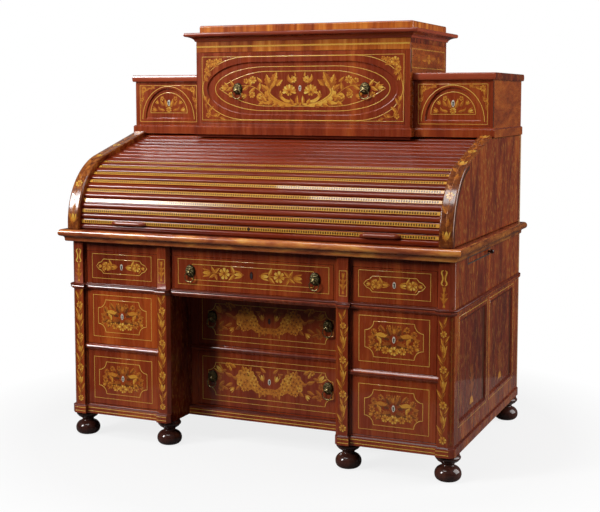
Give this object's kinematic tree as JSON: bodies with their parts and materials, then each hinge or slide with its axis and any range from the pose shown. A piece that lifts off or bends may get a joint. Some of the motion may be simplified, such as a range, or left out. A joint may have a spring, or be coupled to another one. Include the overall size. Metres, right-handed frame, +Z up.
{
  "type": "cylinder desk",
  "caption": "Free-standing marquetry cylinder desk with a tambour roll top, pedestal drawers, a recessed kneehole, ring pulls and a stepped upper stage, on bun feet.",
  "frame": {"origin": "centre of the footprint on the floor", "axes": "+Z up, front towards -Y, +X to the right seen from the front"},
  "size_m": [1.528, 0.964, 1.5399],
  "materials": {
    "mahogany_veneer": "glossy reddish-brown veneer with golden inlay",
    "golden_veneer": "glossy golden-brown veneer with inlay",
    "dark_turned_wood": "very dark polished turning",
    "secondary_wood": "plain oiled inner wood",
    "brass": "aged cast brass"
  },
  "bodies": {
    "carcase": {"left_pedestal": "mahogany_veneer", "right_pedestal": "mahogany_veneer", "centre_carcase": "mahogany_veneer", "desk_board": "golden_veneer", "foot_front_left_outer": "dark_turned_wood", "foot_front_left_inner": "dark_turned_wood", "foot_front_right_inner": "dark_turned_wood", "foot_front_right_outer": "dark_turned_wood", "foot_rear_left": "dark_turned_wood", "foot_rear_right": "dark_turned_wood", "back_panel": "secondary_wood", "rolltop_side_left": "golden_veneer", "rolltop_side_right": "golden_veneer", "pigeonhole_unit": "secondary_wood", "upper_stage": "mahogany_veneer", "cornice": "golden_veneer"},
    "drawer_left_lower": {"drawer_left_lower": "mahogany_veneer"},
    "drawer_left_middle": {"drawer_left_middle": "mahogany_veneer"},
    "drawer_left_frieze": {"drawer_left_frieze": "mahogany_veneer"},
    "drawer_right_lower": {"drawer_right_lower": "mahogany_veneer"},
    "drawer_right_middle": {"drawer_right_middle": "mahogany_veneer"},
    "drawer_right_frieze": {"drawer_right_frieze": "mahogany_veneer"},
    "drawer_centre_frieze": {"drawer_centre_frieze": "mahogany_veneer", "mask_frieze_left": "brass", "mask_frieze_right": "brass"},
    "drawer_kneehole_lower": {"drawer_kneehole_lower": "mahogany_veneer", "mask_kneehole_lower_left": "brass", "mask_kneehole_lower_right": "brass"},
    "drawer_kneehole_upper": {"drawer_kneehole_upper": "mahogany_veneer", "mask_kneehole_upper_left": "brass", "mask_kneehole_upper_right": "brass"},
    "drawer_upper_left": {"drawer_upper_left": "mahogany_veneer"},
    "drawer_upper_right": {"drawer_upper_right": "mahogany_veneer"},
    "drawer_upper_centre": {"drawer_upper_centre": "mahogany_veneer", "mask_upper_left": "brass", "mask_upper_right": "brass"},
    "ring_frieze_left": {"ring_frieze_left": "brass"},
    "ring_frieze_right": {"ring_frieze_right": "brass"},
    "ring_kneehole_lower_left": {"ring_kneehole_lower_left": "brass"},
    "ring_kneehole_lower_right": {"ring_kneehole_lower_right": "brass"},
    "ring_kneehole_upper_left": {"ring_kneehole_upper_left": "brass"},
    "ring_kneehole_upper_right": {"ring_kneehole_upper_right": "brass"},
    "ring_upper_left": {"ring_upper_left": "brass"},
    "ring_upper_right": {"ring_upper_right": "brass"},
    "side_slide": {"side_slide": "mahogany_veneer", "slide_knob": "dark_turned_wood"},
    "tambour_lead": {"tambour_lead_rail": "mahogany_veneer", "tambour_grip_left": "mahogany_veneer", "tambour_grip_right": "mahogany_veneer"},
    "tambour_slat_2": {"tambour_slat_2": "mahogany_veneer"},
    "tambour_slat_3": {"tambour_slat_3": "mahogany_veneer"},
    "tambour_slat_4": {"tambour_slat_4": "mahogany_veneer"},
    "tambour_slat_5": {"tambour_slat_5": "mahogany_veneer"},
    "tambour_slat_6": {"tambour_slat_6": "mahogany_veneer"},
    "tambour_slat_7": {"tambour_slat_7": "mahogany_veneer"},
    "tambour_slat_8": {"tambour_slat_8": "mahogany_veneer"},
    "tambour_upper_run_1": {"tambour_upper_run_1": "mahogany_veneer"},
    "tambour_upper_run_2": {"tambour_upper_run_2": "mahogany_veneer"},
    "tambour_upper_run_3": {"tambour_upper_run_3": "mahogany_veneer"}
  },
  "joints": [
    {"name": "drawer_left_lower_slide", "type": "slide", "parent": "carcase", "child": "drawer_left_lower", "axis": [0, -1, 0], "range_m": [0, 0.48]},
    {"name": "drawer_left_middle_slide", "type": "slide", "parent": "carcase", "child": "drawer_left_middle", "axis": [0, -1, 0], "range_m": [0, 0.48]},
    {"name": "drawer_left_frieze_slide", "type": "slide", "parent": "carcase", "child": "drawer_left_frieze", "axis": [0, -1, 0], "range_m": [0, 0.48]},
    {"name": "drawer_right_lower_slide", "type": "slide", "parent": "carcase", "child": "drawer_right_lower", "axis": [0, -1, 0], "range_m": [0, 0.48]},
    {"name": "drawer_right_middle_slide", "type": "slide", "parent": "carcase", "child": "drawer_right_middle", "axis": [0, -1, 0], "range_m": [0, 0.48]},
    {"name": "drawer_right_frieze_slide", "type": "slide", "parent": "carcase", "child": "drawer_right_frieze", "axis": [0, -1, 0], "range_m": [0, 0.48]},
    {"name": "drawer_centre_frieze_slide", "type": "slide", "parent": "carcase", "child": "drawer_centre_frieze", "axis": [0, -1, 0], "range_m": [0, 0.48]},
    {"name": "drawer_kneehole_lower_slide", "type": "slide", "parent": "carcase", "child": "drawer_kneehole_lower", "axis": [0, -1, 0], "range_m": [0, 0.36]},
    {"name": "drawer_kneehole_upper_slide", "type": "slide", "parent": "carcase", "child": "drawer_kneehole_upper", "axis": [0, -1, 0], "range_m": [0, 0.36]},
    {"name": "drawer_upper_left_slide", "type": "slide", "parent": "carcase", "child": "drawer_upper_left", "axis": [0, -1, 0], "range_m": [0, 0.26]},
    {"name": "drawer_upper_right_slide", "type": "slide", "parent": "carcase", "child": "drawer_upper_right", "axis": [0, -1, 0], "range_m": [0, 0.26]},
    {"name": "drawer_upper_centre_slide", "type": "slide", "parent": "carcase", "child": "drawer_upper_centre", "axis": [0, -1, 0], "range_m": [0, 0.26]},
    {"name": "ring_frieze_left_swing", "type": "hinge", "parent": "drawer_centre_frieze", "child": "ring_frieze_left", "pos_m": [-0.24, -0.4368, 0.644], "axis": [-1, 0, 0], "range_deg": [0, 95]},
    {"name": "ring_frieze_right_swing", "type": "hinge", "parent": "drawer_centre_frieze", "child": "ring_frieze_right", "pos_m": [0.24, -0.4368, 0.644], "axis": [-1, 0, 0], "range_deg": [0, 95]},
    {"name": "ring_kneehole_lower_left_swing", "type": "hinge", "parent": "drawer_kneehole_lower", "child": "ring_kneehole_lower_left", "pos_m": [-0.23, -0.2908, 0.232], "axis": [-1, 0, 0], "range_deg": [0, 95]},
    {"name": "ring_kneehole_lower_right_swing", "type": "hinge", "parent": "drawer_kneehole_lower", "child": "ring_kneehole_lower_right", "pos_m": [0.23, -0.2908, 0.232], "axis": [-1, 0, 0], "range_deg": [0, 95]},
    {"name": "ring_kneehole_upper_left_swing", "type": "hinge", "parent": "drawer_kneehole_upper", "child": "ring_kneehole_upper_left", "pos_m": [-0.23, -0.2908, 0.455], "axis": [-1, 0, 0], "range_deg": [0, 95]},
    {"name": "ring_kneehole_upper_right_swing", "type": "hinge", "parent": "drawer_kneehole_upper", "child": "ring_kneehole_upper_right", "pos_m": [0.23, -0.2908, 0.455], "axis": [-1, 0, 0], "range_deg": [0, 95]},
    {"name": "ring_upper_left_swing", "type": "hinge", "parent": "drawer_upper_centre", "child": "ring_upper_left", "pos_m": [-0.26, -0.0118, 1.2916], "axis": [-1, 0, 0], "range_deg": [0, 95]},
    {"name": "ring_upper_right_swing", "type": "hinge", "parent": "drawer_upper_centre", "child": "ring_upper_right", "pos_m": [0.26, -0.0118, 1.2916], "axis": [-1, 0, 0], "range_deg": [0, 95]},
    {"name": "side_slide_pull", "type": "slide", "parent": "carcase", "child": "side_slide", "axis": [1, 0, 0], "range_m": [0, 0.21]},
    {"name": "tambour_roll", "type": "hinge", "parent": "carcase", "child": "tambour_lead", "pos_m": [0, -0.2113, 0.79992], "axis": [-1, 0, 0], "range_deg": [0, 74.5]},
    {"name": "tambour_slat_2_follow", "type": "hinge", "parent": "carcase", "child": "tambour_slat_2", "pos_m": [0, -0.18429, 0.77551], "axis": [-1, 0, 0], "range_deg": [-0.5, 65.31]},
    {"name": "tambour_slat_3_follow", "type": "hinge", "parent": "carcase", "child": "tambour_slat_3", "pos_m": [0, -0.15373, 0.73829], "axis": [-1, 0, 0], "range_deg": [-0.5, 55.62]},
    {"name": "tambour_slat_4_follow", "type": "hinge", "parent": "carcase", "child": "tambour_slat_4", "pos_m": [0, -0.11755, 0.6808], "axis": [-1, 0, 0], "range_deg": [-0.5, 45.93]},
    {"name": "tambour_slat_5_follow", "type": "hinge", "parent": "carcase", "child": "tambour_slat_5", "pos_m": [0, -0.07144, 0.58749], "axis": [-1, 0, 0], "range_deg": [-0.5, 36.24]},
    {"name": "tambour_slat_6_follow", "type": "hinge", "parent": "carcase", "child": "tambour_slat_6", "pos_m": [0, -0.00463, 0.41957], "axis": [-1, 0, 0], "range_deg": [-0.5, 26.55]},
    {"name": "tambour_slat_7_follow", "type": "hinge", "parent": "carcase", "child": "tambour_slat_7", "pos_m": [0, 0.11911, 0.04633], "axis": [-1, 0, 0], "range_deg": [-0.5, 16.86]},
    {"name": "tambour_slat_8_follow", "type": "hinge", "parent": "carcase", "child": "tambour_slat_8", "pos_m": [0, 0.3945, -0.88777], "axis": [-1, 0, 0], "range_deg": [-0.5, 9]},
    {"name": "tambour_upper_run_1_follow", "type": "hinge", "parent": "carcase", "child": "tambour_upper_run_1", "pos_m": [0, 0.16549, -0.00154], "axis": [-1, 0, 0], "range_deg": [-0.5, 16]},
    {"name": "tambour_upper_run_2_follow", "type": "hinge", "parent": "carcase", "child": "tambour_upper_run_2", "pos_m": [0, 0.16549, -0.00154], "axis": [-1, 0, 0], "range_deg": [-0.5, 16]},
    {"name": "tambour_upper_run_3_follow", "type": "hinge", "parent": "carcase", "child": "tambour_upper_run_3", "pos_m": [0, 0.17549, -0.46838], "axis": [-1, 0, 0], "range_deg": [-0.5, 11.42]}
  ],
  "couplings": [
    {"joint": "tambour_slat_2_follow", "follows": "tambour_roll", "ratio": 0.86993},
    {"joint": "tambour_slat_3_follow", "follows": "tambour_roll", "ratio": 0.73986},
    {"joint": "tambour_slat_4_follow", "follows": "tambour_roll", "ratio": 0.60979},
    {"joint": "tambour_slat_5_follow", "follows": "tambour_roll", "ratio": 0.47972},
    {"joint": "tambour_slat_6_follow", "follows": "tambour_roll", "ratio": 0.34965},
    {"joint": "tambour_slat_7_follow", "follows": "tambour_roll", "ratio": 0.21957},
    {"joint": "tambour_slat_8_follow", "follows": "tambour_roll", "ratio": 0.1141},
    {"joint": "tambour_upper_run_1_follow", "follows": "tambour_roll", "ratio": 0.20805},
    {"joint": "tambour_upper_run_2_follow", "follows": "tambour_roll", "ratio": 0.20805},
    {"joint": "tambour_upper_run_3_follow", "follows": "tambour_roll", "ratio": 0.14653}
  ]
}
